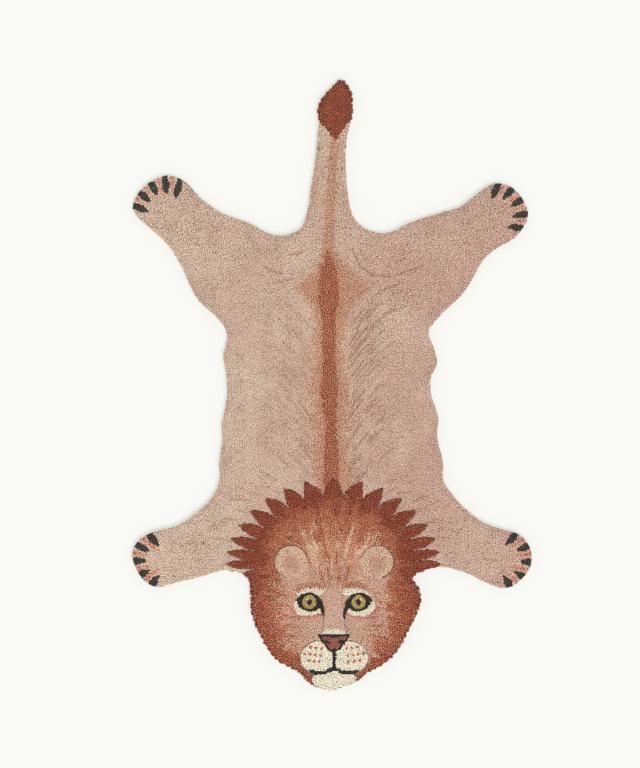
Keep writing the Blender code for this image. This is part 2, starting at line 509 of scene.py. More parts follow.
# ---- mane design
MANE_AT = (2, -272)
BROW_MIDDLE = (3, -322)  # the hair of the forehead fans out from here
LOCKS_A_SIDE = 8
LOCK_SPREAD, LOCK_CROWDING = 16.8, 0.70  # the locks crowd closer towards the sides
LOCK_STEPS = 20  # points in each lock's edge
VALLEY_RADII, TIP_RADII = (118, 104), (162, 132)  # across, along
# Each pair is for the locks at the top and for those at the sides
TIP_SHIFT = (0.22, -0.10)  # how far a lock's tip stands outwards of its middle
INNER_BULGE = (0.62, 0.28)  # how round the edge that faces the top is
OUTER_BULGE = (1.00, 0.33)  # and the other edge
BELOW_LOCKS = ((200, -300), (200, -500), (-200, -500), (-200, -300))  # closes the mane's ring

# Streaks of hair: the middle they run out from, their width in degrees, length and seed
MANE_STREAKS = (MANE_AT, 5.5, 26, 71)
PALE_STREAKS = (BROW_MIDDLE, 3.6, 26, 73)
DARK_STREAKS = (BROW_MIDDLE, 3.2, 20, 74)
HAIR_SWING, FLECK_SWING = 30, 8  # how far streaks and flecks shift the yarns' edges
FLECK_SHARE = 0.4  # of the flecks in the inner locks
BEARD_FADE = (20, -110)  # from the mane's middle: the upper mane passes into the beard
# Each pair is for the upper mane and for the beard.  Edges are measured in from the rim.
GOLD_START, GOLD_DENSEST, GOLD_COVER = (23, 14), (74, 60), 0.85
LOCK_START, LOCK_DENSEST, LOCK_COVER = (18, 16), 4, (0.97, 0.33)
# hair: where its yarn starts and is densest in the streaks, and in from the rim, and its cover
HAIR = {
    "inner locks": ((0.16, 0.30), (70, 40), 0.55),
    "pale hair":   ((0.02, 0.16), (32, 52), 0.80),
    "dark hair":   ((0.06, 0.18), (20, 34), 0.90),
}


def ellipse_radius(angle, radii):
    c, s = np.cos(np.radians(angle)), np.sin(np.radians(angle))
    return 1 / np.sqrt((c / radii[0]) ** 2 + (s / radii[1]) ** 2)


def lock_turn(number):
    """How far a lock or a half-way place between two stands from the top."""
    return LOCK_SPREAD * number - LOCK_CROWDING * number * abs(number)


def lock_ring():
    """The mane's upper edge, from the left side over the top to the right side."""
    ring = []
    for number in range(-LOCKS_A_SIDE, LOCKS_A_SIDE + 1):
        side = np.sign(number)
        pairs = (TIP_SHIFT, INNER_BULGE, OUTER_BULGE)
        shift, inner, outer = (blend(pair, abs(number) / LOCKS_A_SIDE) for pair in pairs)
        first, tip, last = (lock_turn(number + part) for part in (-0.5, side * shift, 0.5))
        for share in np.linspace(-1, 1, LOCK_STEPS, endpoint=False):
            out = (1 - abs(share)) ** (outer if share * side > 0 else inner)
            angle = 90 - np.interp(share, (-1, 0, 1), (first, tip, last))
            valley, top = ellipse_radius(angle, VALLEY_RADII), ellipse_radius(angle, TIP_RADII)
            ring.append(around(MANE_AT, valley + (top - valley) * out, angle))
    return np.array(ring)


LOCK_RING = lock_ring()
MANE_RING = np.vstack([LOCK_RING, BELOW_LOCKS])


def hair(name, streaks, rim):
    in_streaks, from_rim, cover = HAIR[name]
    return fade(streaks, *in_streaks) * fade(rim, *from_rim) * cover


def mane_layers(x, y, depth):
    """Covers of the mane's yarns from its rim inwards."""
    dx, dy = x - MANE_AT[0], y - MANE_AT[1]
    upper = ellipse_radius(np.degrees(np.arctan2(dy, dx)), VALLEY_RADII) - np.hypot(dx, dy)
    rim = np.minimum(np.where(dy > 0, upper, VALLEY_RADII[0] - np.abs(dx)), depth)
    streaks, flecks = flames(x, y, *MANE_STREAKS), ragged(x, y, "mane")
    reach = rim + streaks * HAIR_SWING + flecks * FLECK_SWING
    beard = smooth(fade(dy, *BEARD_FADE))
    gold = fade(reach, blend(GOLD_START, beard), blend(GOLD_DENSEST, beard))
    locks = fade(reach, blend(LOCK_START, beard), LOCK_DENSEST)
    return [
        ("mane_gold", gold * GOLD_COVER),
        ("lock", locks * blend(LOCK_COVER, beard)),
        ("lock", hair("inner locks", streaks + flecks * FLECK_SHARE, rim)),
        ("sand", hair("pale hair", flames(x, y, *PALE_STREAKS), reach)),
        ("mane", hair("dark hair", flames(x, y, *DARK_STREAKS), rim)),
    ]


# ---- face design
# A plain lion's face, the same on both sides.  "aside" is the distance from its axis.
Oval = namedtuple("Oval", "aside along half_width half_height tilt", defaults=(0.0,))
FACE_AXIS = 3
FACE = Oval(0, -344, 85, 85)
FACE_PIECE = 1.25  # size of the face's piece of the pile, against the face
FACE_FRAY, FACE_STREAKS = 0.3, ((FACE_AXIS, FACE.along), 4.5, 22, 43)  # streaks of hair break its edge
FOREHEAD_FADE, FOREHEAD_COVER = (-330, -300), 0.65  # rust yarn comes in up the forehead
CROWN_FADE, CROWN_LOSS = (-300, -268), 0.65  # and goes out again higher up
EAR = Oval(65, -266, 25, 25)
EYE = Oval(37, -327, 21, 10.5, 9)
EYE_RIM, EYE_POINT = 1.34, 2.4  # the dark rim's size, and how pointed the corners are
IRIS_RADIUS, PUPIL_RADIUS, GLINT_RADIUS = 10.5, 4.4, 1.6
GLINT = (3, 4)  # the light in the eye, aside and above its middle
UNDER_EYE = Oval(39, -334, 23.1, 14.175)
CORAL_RIM, CORAL_DROP = 1.28, 6  # the coral line under the cream
TEAR_MARK, TEAR_HALF_WIDTH = ((20, -332), (16, -342), (15, -352)), (3.4, 1.2)
BRIDGE = ((17, -340), (16, -358), (19, -374))  # its carved edge: aside, along
BRIDGE_HALF_WIDTH, BRIDGE_FADE = (11, 17), (-292, -312)  # by the eyes and at the nose
NOSE_TOP, NOSE_BOTTOM, NOSE_HALF_WIDTH = -378, -402, 21
NOSE_RIM, NOSE_EDGE = 3, 3.2  # at its sides and its top
ROSE_TOP, ROSE_SIDE, ROSE_PART = 1.5, 1.2, 0.82  # the rose yarn is set in this much
NOSTRIL = Oval(10, -387, 4.4, 2.6, 28)
MUZZLE = Oval(23, -410, 29, 25, -12)
MOUTH_LEVEL, MOUTH_REACH, MOUTH_DIP = -426, 35, 8
CHIN = Oval(0, -443, 33, 17)
WHISKER_ROWS = ((-397, 3), (-407, 4), (-417, 3))  # along, dots
WHISKER_FIRST, WHISKER_STEP, WHISKER_SHIFT, WHISKER_DOT = 19, 8, 1.5, 2.3
LINE = 2.6  # half width of the dark lines
# Short strokes: aside and along of the lower end and of the upper one, half width, cover
MARKS = (
    ((6, -300), (9, -276), 3.6, 0.85),
    ((16, -296), (23, -274), 3.6, 0.85),
    ((52, -352), (74, -346), 3.2, 0.6),
    ((54, -364), (76, -362), 3.2, 0.6),
    ((55, -376), (74, -379), 3.2, 0.6),
)
# Soft areas: yarn, shape, the parts of it where the yarn starts and is densest, cover
AREAS = {
    "cheek": ("tan_rust", Oval(58, -372, 20, 30, -20), 1.1, 0.4, 0.45),
    "under ear": ("face", Oval(58, -290, 27, 22, 40), 1.2, 0.7, 1),
    "inner ear": ("furrow_pink", Oval(64, -270, 12.5, 15.5, -25), 1.1, 0.6, 0.75),
    "brow arc": ("mane", Oval(36, -305, 22, 8, -8), 1.1, 0.8, 0.6),
    "brow": ("cream", Oval(34, -313, 21, 8, -6), 1.1, 0.8, 0.9),
}


def soft_area(name, aside, y, patch):
    """An area's yarn and its cover."""
    yarn, shape, start, densest, cover = AREAS[name]
    return yarn, fade(in_oval(aside, y, shape) + patch, start, densest) * cover


def almond(aside, y):
    """1 on the rim of the almond eye."""
    u, v = turned(aside - EYE.aside, y - EYE.along, EYE.tilt)
    along = np.clip(np.abs(u) / EYE.half_width, 0, 1)
    return np.maximum(np.abs(v) / (EYE.half_height * (1 - along ** EYE_POINT) + 0.01), along)


def mouth_gap(aside, y):
    """Distance to the mouth, an arc that dips and then runs out and up."""
    share = np.linspace(0, 1, 9)
    path = np.stack([MOUTH_REACH * share, MOUTH_LEVEL - MOUTH_DIP * np.sin(share * 2.5)], 1)
    return to_path(aside, y, path)[0]


def face_ground(x, y, aside, patch):
    """The pale face with rust cheeks and a rust forehead, frayed into the mane."""
    disc = in_oval(aside, y, FACE) + patch
    disc += flames(x, y, *FACE_STREAKS) * FACE_FRAY
    forehead = fade(y, *FOREHEAD_FADE) * (1 - CROWN_LOSS * fade(y, *CROWN_FADE)) * fade(disc, 1.0, 0.8)
    return [
        ("mane_gold", fade(disc, 1.06, 0.92) * 0.5),
        ("face", fade(disc, 0.98, 0.76)),
        soft_area("cheek", aside, y, patch),
        ("tan_rust", forehead * FOREHEAD_COVER),
    ]


def ears(aside, y, patch):
    """Round ears, and the pale hair under them."""
    ear = in_oval(aside, y, EAR) < 1
    return [
        soft_area("under ear", aside, y, patch),
        ("face", ear),
        ("sand", ear * 0.4),
        soft_area("inner ear", aside, y, patch),
    ]


def face_marks(aside, y):
    """Short dark strokes on the forehead and the cheeks, widest near their lower end."""
    layers = []
    for *ends, half_width, cover in MARKS:
        gap, _, place = to_path(aside, y, ends)
        width = half_width * (1.15 - 0.7 * np.abs(place - 0.35))
        layers.append(("mane", fade(gap, width, 0.4) * cover))
    return layers


def eyes(aside, y, jag, patch):
    """Brows, cream and coral under each eye, its dark rim, amber iris, pupil and glint."""
    under = in_oval(aside, y, UNDER_EYE)
    eye = almond(aside, y)
    tear, _, place = to_path(aside, y, TEAR_MARK)
    iris = np.hypot(aside - EYE.aside, y - EYE.along)
    glint = np.hypot(aside - EYE.aside - GLINT[0], y - EYE.along - GLINT[1])
    return [
        soft_area("brow arc", aside, y, patch),
        soft_area("brow", aside, y, patch),
        ("coral", (under < CORAL_RIM) * (y < EYE.along - CORAL_DROP) * 0.55),
        ("cream", (under + patch < 1) * 0.95),
        ("black", tear + jag < blend(TEAR_HALF_WIDTH, place)),
        ("black", eye + jag * 0.06 < EYE_RIM),
        ("iris", (iris < IRIS_RADIUS) & (eye < 1)),
        ("black", iris < PUPIL_RADIUS),
        ("cream", glint < GLINT_RADIUS),
    ]


def bridge_of_nose(aside, y, patch):
    """Paler than the cheeks."""
    width = blend(BRIDGE_HALF_WIDTH, fade(y, EYE.along, NOSE_TOP))
    bridge = fade(aside + patch * 12, width + 2, width - 2) * fade(y, *BRIDGE_FADE) * (y > NOSE_TOP)
    return [("coat_pink", bridge * 0.85), ("sand", bridge * 0.25)]


def muzzle(aside, y, patch):
    """Two cream lobes with rows of dots, and the chin."""
    lobe = in_oval(aside, y, MUZZLE)
    layers = [
        ("cream", fade(lobe + patch * 0.4, 1.04, 0.94)),
        ("cream", fade(np.hypot(aside, (y - NOSE_TOP + 2) * 1.6), 24, 18)),
    ]
    for row, (along, dots) in enumerate(WHISKER_ROWS):
        for dot in range(dots):
            place = WHISKER_FIRST + WHISKER_STEP * dot + WHISKER_SHIFT * row
            layers.append(("coral", np.hypot(aside - place, y - along - dot) < WHISKER_DOT))
    return layers + [("cream", in_oval(aside, y, CHIN) + patch * 0.3 < 1)]


def nose(aside, y, jag):
    """A rounded triangle with a dark rim, and the mouth under it."""
    depth = fade(y, NOSE_TOP, NOSE_BOTTOM)
    width = NOSE_HALF_WIDTH * (1 - depth) ** 0.7
    level = (y < NOSE_TOP + NOSE_EDGE) & (y > NOSE_BOTTOM)
    rose = (y < NOSE_TOP - ROSE_TOP) & (depth < ROSE_PART) & (aside < width - ROSE_SIDE)
    philtrum = to_path(aside, y, ((0, NOSE_BOTTOM + 3), (0, MOUTH_LEVEL)))[0]
    return [
        ("black", level & (aside + jag < width + NOSE_RIM)),
        ("rose", rose),
        ("black", in_oval(aside, y, NOSTRIL) < 1),
        ("black", np.minimum(philtrum, mouth_gap(aside, y)) + jag < LINE),
    ]


def face_layers(x, y):
    """Covers of the face's yarns, laid one over the other in this order."""
    aside = np.abs(x - FACE_AXIS)
    jag, patch = ragged(x, y, "face lines"), ragged(x, y, "face areas")
    layers = face_ground(x, y, aside, patch) + ears(aside, y, patch) + face_marks(aside, y)
    layers += eyes(aside, y, jag, patch) + bridge_of_nose(aside, y, patch)
    return layers + muzzle(aside, y, patch) + nose(aside, y, jag)


# ---- carved lines
# Grooves cut with shears: half width and depth
GROOVES = {
    "locks":  (1.2, 2.4),
    "furrow": (1.6, 1.3),
    "ear":    (1.5, 4.2),
    "muzzle": (1.3, 3.8),
    "bridge": (1.2, 3.2),
}
FURROW_CUT = 0.45  # stronger furrows than this are cut, the deeper the stronger they are
EAR_CUT, MUZZLE_CUT = range(-70, 171, 10), range(-70, 121, 10)  # angles of their arcs' points
CUT_PUSH = 0.3  # how far a groove parts the tufts


def arc(oval, turns):
    """Points on an oval's rim, aside and along."""
    points = []
    for turn in turns:
        u, v = around((0, 0), 1, turn)
        u, v = turned(u * oval.half_width, v * oval.half_height, -oval.tilt)
        points.append((oval.aside + u, oval.along + v))
    return points


def carved_lines():
    """Each groove's path, its half width and its depth."""
    half_width, depth = GROOVES["furrow"]
    lines = [(LOCK_RING, *GROOVES["locks"])]
    lines += [(path, half_width, depth * strength) for path, strength, _ in STROKES if strength > FURROW_CUT]
    face_cuts = {"ear": arc(EAR, EAR_CUT), "muzzle": arc(MUZZLE, MUZZLE_CUT), "bridge": BRIDGE}
    for side in (-1, 1):
        for name, path in face_cuts.items():
            lines.append(([(FACE_AXIS + side * p, q) for p, q in path], *GROOVES[name]))
    return lines


def carve(x, y):
    """How far each point is lowered by the grooves, and how far it is pushed aside."""
    drop, push = np.zeros(len(x)), np.zeros((len(x), 2))
    for path, half_width, depth in carved_lines():
        near = np.nonzero(near_path(x, y, path, half_width))[0]
        gap, offset, _ = to_path(x[near], y[near], path)
        cut = np.clip(1 - gap / half_width, 0, 1)
        deeper = cut * depth > drop[near]
        drop[near] = np.maximum(cut * depth, drop[near])
        away = -offset / np.maximum(gap, 0.05)[:, None] * (cut * CUT_PUSH)[:, None]
        push[near] = np.where(deeper[:, None], away, push[near])
    return drop, push


# ---- lay out the pile
def neighbours(field):
    """The field's values at the six tufts beside each one, anticlockwise."""
    steps = ((0, 1), (1, 0), (1, -1), (0, -1), (-1, 0), (-1, 1))  # row and column
    return [np.roll(field, (-row, -column), (0, 1)) for row, column in steps]


def lattice():
    """Jittered tufts in rows, the six corners of each tuft's cell, and its shade."""
    rise = TUFT_PITCH * math.sqrt(3) / 2
    low, high = OUTLINE.min(0) - 3 * TUFT_PITCH, OUTLINE.max(0) + 3 * TUFT_PITCH
    rows = int((high[1] - low[1]) / rise) + 2
    columns = int((high[0] - low[0]) / TUFT_PITCH) + 2 + rows // 2
    j, i = np.meshgrid(np.arange(rows), np.arange(columns), indexing="ij")
    grid = np.stack([low[0] + (i - rows // 2 + j / 2) * TUFT_PITCH, low[1] + j * rise], 2)
    spots = grid + draw.uniform(-1, 1, grid.shape) * TUFT_PITCH * TUFT_JITTER
    beside = neighbours(spots)
    corners = np.stack([(spots + beside[k] + beside[(k + 1) % 6]) / 3 for k in range(6)], 2)
    tone = draw.normal(0, 1, grid.shape[:2])
    for _ in range(TONE_PASSES):
        tone -= np.mean(neighbours(tone), axis=0)
    tone /= tone.std()
    return spots[1:-1, 1:-1].reshape(-1, 2), corners[1:-1, 1:-1].reshape(-1, 6, 2), tone[1:-1, 1:-1].ravel()


def settle(spots, corners, tone):
    """Keeps the tufts within the outline, and squeezes those on the edge to fit it."""
    near = ((spots > OUTLINE.min(0) - 1) & (spots < OUTLINE.max(0) + 1)).all(1)
    spots, corners, tone = spots[near], corners[near], tone[near]
    depth, outward = edge_field(*spots.T)
    keep = depth > -OUTSIDE
    spots, corners, tone, depth, outward = (part[keep] for part in (spots, corners, tone, depth, outward))
    spots -= outward * np.maximum(LEAST_DEPTH - depth, 0)[:, None]
    rim = np.nonzero(depth < FITTED_BAND)[0]
    flat = corners[rim].reshape(-1, 2)
    gap, out = edge_field(*flat.T)
    flat += out * np.minimum(gap, 0)[:, None]
    corners[rim] = flat.reshape(-1, 6, 2)
    depth = np.maximum(depth, LEAST_DEPTH)
    keep = signed_area(corners) > LEAST_CELL
    return [part[keep] for part in (spots, corners, tone, depth, outward)]


# Browner yarn in blotches over the coat, and more of it on the rump
BROWN_BLOTCHES, BROWN_NOISE = 0.22, (20, 52)
BROWN_NOISE_GAIN, BROWN_NOISE_CUT = 1.8, 0.6
BROWN_RUMP, BROWN_RUMP_RISE = 0.12, (90, 210)


def coat_layers(x, y):
    """Covers of the coat's yarns, laid one over the other in this order."""
    blotches = smooth(BROWN_NOISE_GAIN * soft_noise(x, y, *BROWN_NOISE) - BROWN_NOISE_CUT)
    plain, pink = furrows(x, y)
    line, line_pink, line_sides = tail_line(x, y)
    heart, sides, glow = spine_stripe(x, y)
    coral, sand = toe_streaks(x, y)
    return [
        ("furrow", BROWN_BLOTCHES * blotches + BROWN_RUMP * fade(y, *BROWN_RUMP_RISE)),
        ("furrow", plain),
        ("furrow_pink", pink),
        ("furrow", line_sides),
        ("tan_rust", line),
        ("furrow_pink", line_pink),
        ("tan_rust", rump_diamond(x, y)),
        ("mane_gold", glow),
        ("tan_rust", sides),
        ("stripe", heart),
        ("tuft", tail_tuft(x, y)),
        ("sand", sand),
        ("coral", coral),
        ("claw", claw_cover(x, y)),
    ]


def choose_yarns(x, y, depth, in_mane):
    """Lays the design's yarns one over the other, strand by strand."""
    yarn = np.full((len(x), STRANDS), INDEX["coat"])
    for name, cover in coat_layers(x, y):
        yarn[draw.random(yarn.shape) < cover[:, None]] = INDEX[name]
    for name, cover in [("mane", in_mane)] + mane_layers(x, y, depth) + face_layers(x, y):
        yarn[draw.random(yarn.shape) < (cover * in_mane)[:, None]] = INDEX[name]
    return yarn


PINK = 0.30  # of the coat
PINK_RANGE = (0.0, 0.95)
PINK_SLOPE, PINK_SIDES = 1 / 450, (-0.3, 0.28)  # pinker towards the right side
PALE_SHOULDERS, PALE_FADE = 0.15, (-100, -220)


def pinkness(x, y):
    """How pink the coat is."""
    blotches = ragged(x, y, "pink blotch") + ragged(x, y, "pink area")
    side = np.clip(x * PINK_SLOPE, *PINK_SIDES)
    return np.clip(PINK + blotches + side - PALE_SHOULDERS * fade(y, *PALE_FADE), *PINK_RANGE)


def strand_colours(yarn, tone, pink):
    """Each strand's linear colour: its yarn's, some steps lighter or darker."""
    base = np.array([row[1] for row in YARNS], float)[yarn]
    coat = (yarn == INDEX["coat"])[..., None] * pink[:, None, None]
    base += coat * np.subtract(YARNS[INDEX["coat_pink"]][1], YARNS[INDEX["coat"]][1])
    uneven = np.array([row[2] for row in YARNS])[yarn]
    step = tone[:, None] + STRAND_SPREAD * draw.normal(0, 1, yarn.shape)
    step += np.interp(base[..., 0], *SPECKS) * (step ** 2 - 1)
    return np.clip(to_linear(base + (uneven * step)[..., None]) * YARN_GAIN, 0.002, 0.93)


# ---- build meshes
# A tuft is a ring of six shoulders (points 0 to 5) under its tip (6).  Inside the pile it narrows
# to one root (7), and near the edge it keeps its width down to a ring of roots (7 to 12).
DOME = [(k, (k + 1) % 6, 6) for k in range(6)]
SPINDLE = DOME + [((k + 1) % 6, k, 7) for k in range(6)]
PRISM = DOME + [(7 + k, 7 + (k + 1) % 6, (k + 1) % 6, k) for k in range(6)] + [tuple(range(12, 6, -1))]
TILE_MIDDLE = (0.5, 0.5)
TILE_RING, TILE_RIM = 0.40, 0.49
# The "height" of a point is 1 at the tips and 0 at the roots, and less in a groove. The wool is darkened by
# it: painted shade down in the pile and in the grooves
SHOULDER_SHADE_LEVEL, CUT_SHADE = 0.62, 0.10


def on_tile(radius, first):
    """Six points round a tuft's own tile on the map, and the first of them again."""
    return [around(TILE_MIDDLE, radius, first + 60 * k) for k in range(7)]


RING, RIM, ENDS = on_tile(TILE_RING, 0), on_tile(TILE_RIM, 0), on_tile(TILE_RIM, 30)
DOME_MAP = [(RING[k], RING[k + 1], TILE_MIDDLE) for k in range(6)]
SPINDLE_MAP = DOME_MAP + [(RING[k + 1], RING[k], ENDS[k]) for k in range(6)]
PRISM_MAP = DOME_MAP + [(RIM[k], RIM[k + 1], RING[k + 1], RING[k]) for k in range(6)] + [(TILE_MIDDLE,) * 6]


def tuft_shapes(spots, corners, depth, outward, in_mane, shaggy):
    """The points of every tuft: ring, tip, root and root ring, and how deep each is carved."""
    count = len(spots)
    x, y = spots.T
    edge = np.clip(1 - depth / EDGE_BAND, 0, 1)
    top = PILE_TOP + MANE_RISE * in_mane + ragged(x, y, "pile top")
    top += draw.normal(0, TIP_SPREAD, count) - EDGE_DROP * edge ** 2
    flow = np.stack([ragged(x, y, "lean across"), ragged(x, y, "lean along")], 1)
    lean = outward * (EDGE_LEAN * edge)[:, None] + flow + draw.normal(0, TIP_LEAN, (count, 2))
    longer = shaggy & (depth < SHAGGY_BAND)
    lean += outward * (longer * draw.uniform(0, SHAGGY_REACH, count))[:, None]

    spoke = corners - spots[:, None]
    place = np.zeros((count, 14, 3))
    ring, tip, root, root_ring = place[:, :6], place[:, 6], place[:, 7], place[:, 8:]
    ring[..., :2] = spots[:, None] + spoke * draw.uniform(*SHOULDER_SIZE, (count, 6, 1))
    ring[..., :2] += lean[:, None] * SHOULDER_LEAN
    ring[..., 2] = (top - EDGE_SHOULDER_DROP * edge ** 2)[:, None] - draw.uniform(*SHOULDER_DROP, (count, 6))
    tip[:, :2] = spots + lean + draw.normal(0, TIP_STRAY, (count, 2))
    tip[:, 2] = top
    rooted = fade(depth, *ROOTED_BAND)
    height = EDGE_ROOT + (BED_TOP - EDGE_ROOT) * rooted
    shift = -outward * (EDGE_SHIFT * (1 - rooted))[:, None]
    root[:, :2] = spots + shift
    root[:, 2] = height - ROOT_POINT
    root_ring[..., :2] = spots[:, None] + spoke * ROOT_SIZE + shift[:, None]
    root_ring[..., 2] = height[:, None]

    upper = place[:, :7].reshape(-1, 3)
    drop, push = carve(upper[:, 0], upper[:, 1])
    upper[:, :2] += push
    upper[:, 2] = np.maximum(upper[:, 2] - drop, EDGE_ROOT + LEAST_PILE)
    place[:, :7] = upper.reshape(-1, 7, 3)
    return place, drop.reshape(-1, 7)


def tuft_batch(place, drop, colour, prisms):
    """Points, colours and heights of one kind of tuft, with its faces and their map. The heights set the
    painted shade.
    """
    used = [0, 1, 2, 3, 4, 5, 6] + (list(range(8, 14)) if prisms else [7])
    ring = np.repeat(colour, 6 // STRANDS, axis=1)
    middle = colour.mean(1, keepdims=True)
    shades = np.concatenate([ring, middle, ring if prisms else middle], 1)
    level = np.zeros((len(place), len(used)))
    # Shoulders and carved points are set lower, for a darker painted shade
    level[:, :6], level[:, 6] = SHOULDER_SHADE_LEVEL, 1.0
    level[:, :7] -= drop * CUT_SHADE
    faces, plan = (PRISM, PRISM_MAP) if prisms else (SPINDLE, SPINDLE_MAP)
    return place[:, used], shades, level, faces, plan


def pile_piece(name, batches, material):
    """One mesh of many tufts, with its yarns' colours, its heights in the pile that set its painted shade,
    and its map.
    """
    across = math.ceil(math.sqrt(sum(len(batch[0]) for batch in batches)))
    parts = []
    first_point = first_tuft = 0
    for place, colour, level, faces, plan in batches:
        count, size = level.shape
        order = np.array([corner for face in faces for corner in face])
        start = first_point + size * np.arange(count)[:, None]
        tile = first_tuft + np.arange(count)
        tile = np.stack([tile % across, tile // across], 1)
        spots = np.array([spot for face in plan for spot in face])
        parts.append((
            place.reshape(-1, 3) * MM, colour.reshape(-1, 3), np.clip(level, 0, 1).ravel(),
            (start + order).ravel(), np.tile([len(face) for face in faces], count),
            ((tile[:, None] + spots) / across).reshape(-1, 2)))
        first_point += count * size
        first_tuft += count
    points, shades, levels, loops, totals, map_points = map(np.concatenate, zip(*parts))

    mesh = bpy.data.meshes.new(name)
    mesh.vertices.add(len(points))
    mesh.vertices.foreach_set("co", points.astype(np.float32).ravel())
    mesh.loops.add(len(loops))
    mesh.loops.foreach_set("vertex_index", loops.astype(np.int32))
    mesh.polygons.add(len(totals))
    mesh.polygons.foreach_set("loop_start", (np.cumsum(totals) - totals).astype(np.int32))
    mesh.polygons.foreach_set("use_smooth", np.ones(len(totals), bool))
    mesh.update(calc_edges=True)
    rgba = np.concatenate([shades, np.ones((len(shades), 1))], 1)
    mesh.color_attributes.new("yarn", "FLOAT_COLOR", "POINT").data.foreach_set("color", rgba.ravel())
    mesh.attributes.new("height", "FLOAT", "POINT").data.foreach_set("value", levels)
    mesh.uv_layers.new(name="OFBake").data.foreach_set("uv", map_points.ravel())
    mesh.materials.append(material)
    piece = add_object(name, mesh)
    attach(piece, "root")
    return piece


# ---- materials
FINE_SCALE, FLECK_SCALE = 2400, 850  # noise cells in a metre: the fine flecks and the coarser ones
NOISE_RANGE = (0.3, 0.7)  # most of a noise's values
WOOL_ROUGHNESS, WOOL_SHEEN, SHEEN_ROUGHNESS = 0.92, 0.10, 0.5
# Painted shade darkens the wool towards the roots, and painted light lightens the tips a little
ROOT_SHADE, TIP_SHADE = 0.35, 1.08  # light is lost down in the pile
COTTON_DARK, COTTON_LIGHT = (0.42, 0.34, 0.26, 1), (0.66, 0.57, 0.45, 1)
PACKED_YARN = (0.30, 0.19, 0.13, 1)
WEAVE = (("Scale", 160), ("Distortion", 1.5), ("Detail", 1.0))
CLOTH_TOP = (0.0015, 0.0020)  # metres up: cotton below, packed yarn above
BUMP_DEPTH = 0.0005


def new_material(name, roughness, specular=0.2):
    material = bpy.data.materials.new(name)
    material.use_nodes = True
    tree = material.node_tree
    shader = tree.nodes["Principled BSDF"]
    shader.inputs["Roughness"].default_value = roughness
    shader.inputs["Specular IOR Level"].default_value = specular
    return material, tree, shader


def add_node(tree, kind, inputs=(), **settings):
    """A new node, with its settings, and with values or links on its inputs."""
    made = tree.nodes.new(kind)
    for key, value in settings.items():
        setattr(made, key, value)
    for key, value in inputs:
        if isinstance(value, bpy.types.NodeSocket):
            tree.links.new(value, made.inputs[key])
        else:
            made.inputs[key].default_value = value
    return made


def noise_at(tree, place, scale):
    noise = add_node(tree, "ShaderNodeTexNoise", (("Vector", place), ("Scale", scale), ("Detail", 1)))
    return noise.outputs["Fac"]


def remap(tree, source, low, high, to_low, to_high):
    names = ("Value", "From Min", "From Max", "To Min", "To Max")
    values = zip(names, (source, low, high, to_low, to_high))
    return add_node(tree, "ShaderNodeMapRange", values).outputs["Result"]


def add_bump(tree, shader, height, strength):
    values = (("Height", height), ("Strength", strength), ("Distance", BUMP_DEPTH))
    tree.links.new(add_node(tree, "ShaderNodeBump", values).outputs["Normal"], shader.inputs["Normal"])


def wool():
    """Cut wool: the strands' own colours, flecked fibre by fibre, with painted shade that darkens it towards
    the root and in the grooves.
    """
    material, tree, shader = new_material("wool_pile", WOOL_ROUGHNESS)
    shader.inputs["Sheen Weight"].default_value = WOOL_SHEEN
    shader.inputs["Sheen Roughness"].default_value = SHEEN_ROUGHNESS
    place = add_node(tree, "ShaderNodeTexCoord").outputs["Object"]
    yarn = add_node(tree, "ShaderNodeAttribute", attribute_name="yarn").outputs["Color"]
    height = add_node(tree, "ShaderNodeAttribute", attribute_name="height").outputs["Fac"]
    grain = noise_at(tree, place, FINE_SCALE)
    fleck = remap(tree, noise_at(tree, place, FLECK_SCALE), *NOISE_RANGE, -FLECK, FLECK)
    fine = remap(tree, grain, *NOISE_RANGE, -FINE_FLECK, FINE_FLECK)
    step = add_node(tree, "ShaderNodeMath", ((0, fleck), (1, fine)), operation="ADD").outputs[0]
    look = add_node(tree, "ShaderNodeGamma", (("Color", yarn), ("Gamma", 1 / LOOK_GAMMA))).outputs["Color"]
    look = add_node(tree, "ShaderNodeVectorMath", ((0, look), (1, step)), operation="ADD").outputs["Vector"]
    shade = add_node(tree, "ShaderNodeGamma", (("Color", look), ("Gamma", LOOK_GAMMA))).outputs["Color"]
    # painted shade and painted light by height in the pile
    depth = remap(tree, height, 0.0, 1.0, ROOT_SHADE, TIP_SHADE)
    shade = add_node(tree, "ShaderNodeVectorMath", ((0, shade), ("Scale", depth)), operation="SCALE")
    tree.links.new(shade.outputs["Vector"], shader.inputs["Base Color"])
    add_bump(tree, shader, grain, 0.5)
    return material


def backing():
    """Plain woven cotton below, and the brown of packed yarn above it."""
    material, tree, shader = new_material("backing_cloth", 0.9)
    place = add_node(tree, "ShaderNodeTexCoord").outputs["Object"]
    waves = [
        add_node(tree, "ShaderNodeTexWave", (("Vector", place), *WEAVE), bands_direction=way).outputs["Fac"]
        for way in ("X", "Y")]
    weave = add_node(tree, "ShaderNodeMath", enumerate(waves), operation="MULTIPLY").outputs[0]
    cotton = add_node(tree, "ShaderNodeValToRGB", (("Fac", weave),))
    for element, shade in zip(cotton.color_ramp.elements, (COTTON_DARK, COTTON_LIGHT)):
        element.color = shade
    up = add_node(tree, "ShaderNodeSeparateXYZ", ((0, place),)).outputs["Z"]
    yarn_share = remap(tree, up, *CLOTH_TOP, 0.0, 1.0)
    inputs = ((0, yarn_share), (6, cotton.outputs["Color"]), (7, PACKED_YARN))
    mixed = add_node(tree, "ShaderNodeMix", inputs, data_type="RGBA")
    tree.links.new(mixed.outputs[2], shader.inputs["Base Color"])
    add_bump(tree, shader, weave, 0.6)
    return material


def floor_paint():
    material, _, shader = new_material("floor", 0.8)
    shader.inputs["Base Color"].default_value = FLOOR_COLOUR
    shader.inputs["Emission Color"].default_value = FLOOR_COLOUR
    shader.inputs["Emission Strength"].default_value = FLOOR_GLOW
    return material


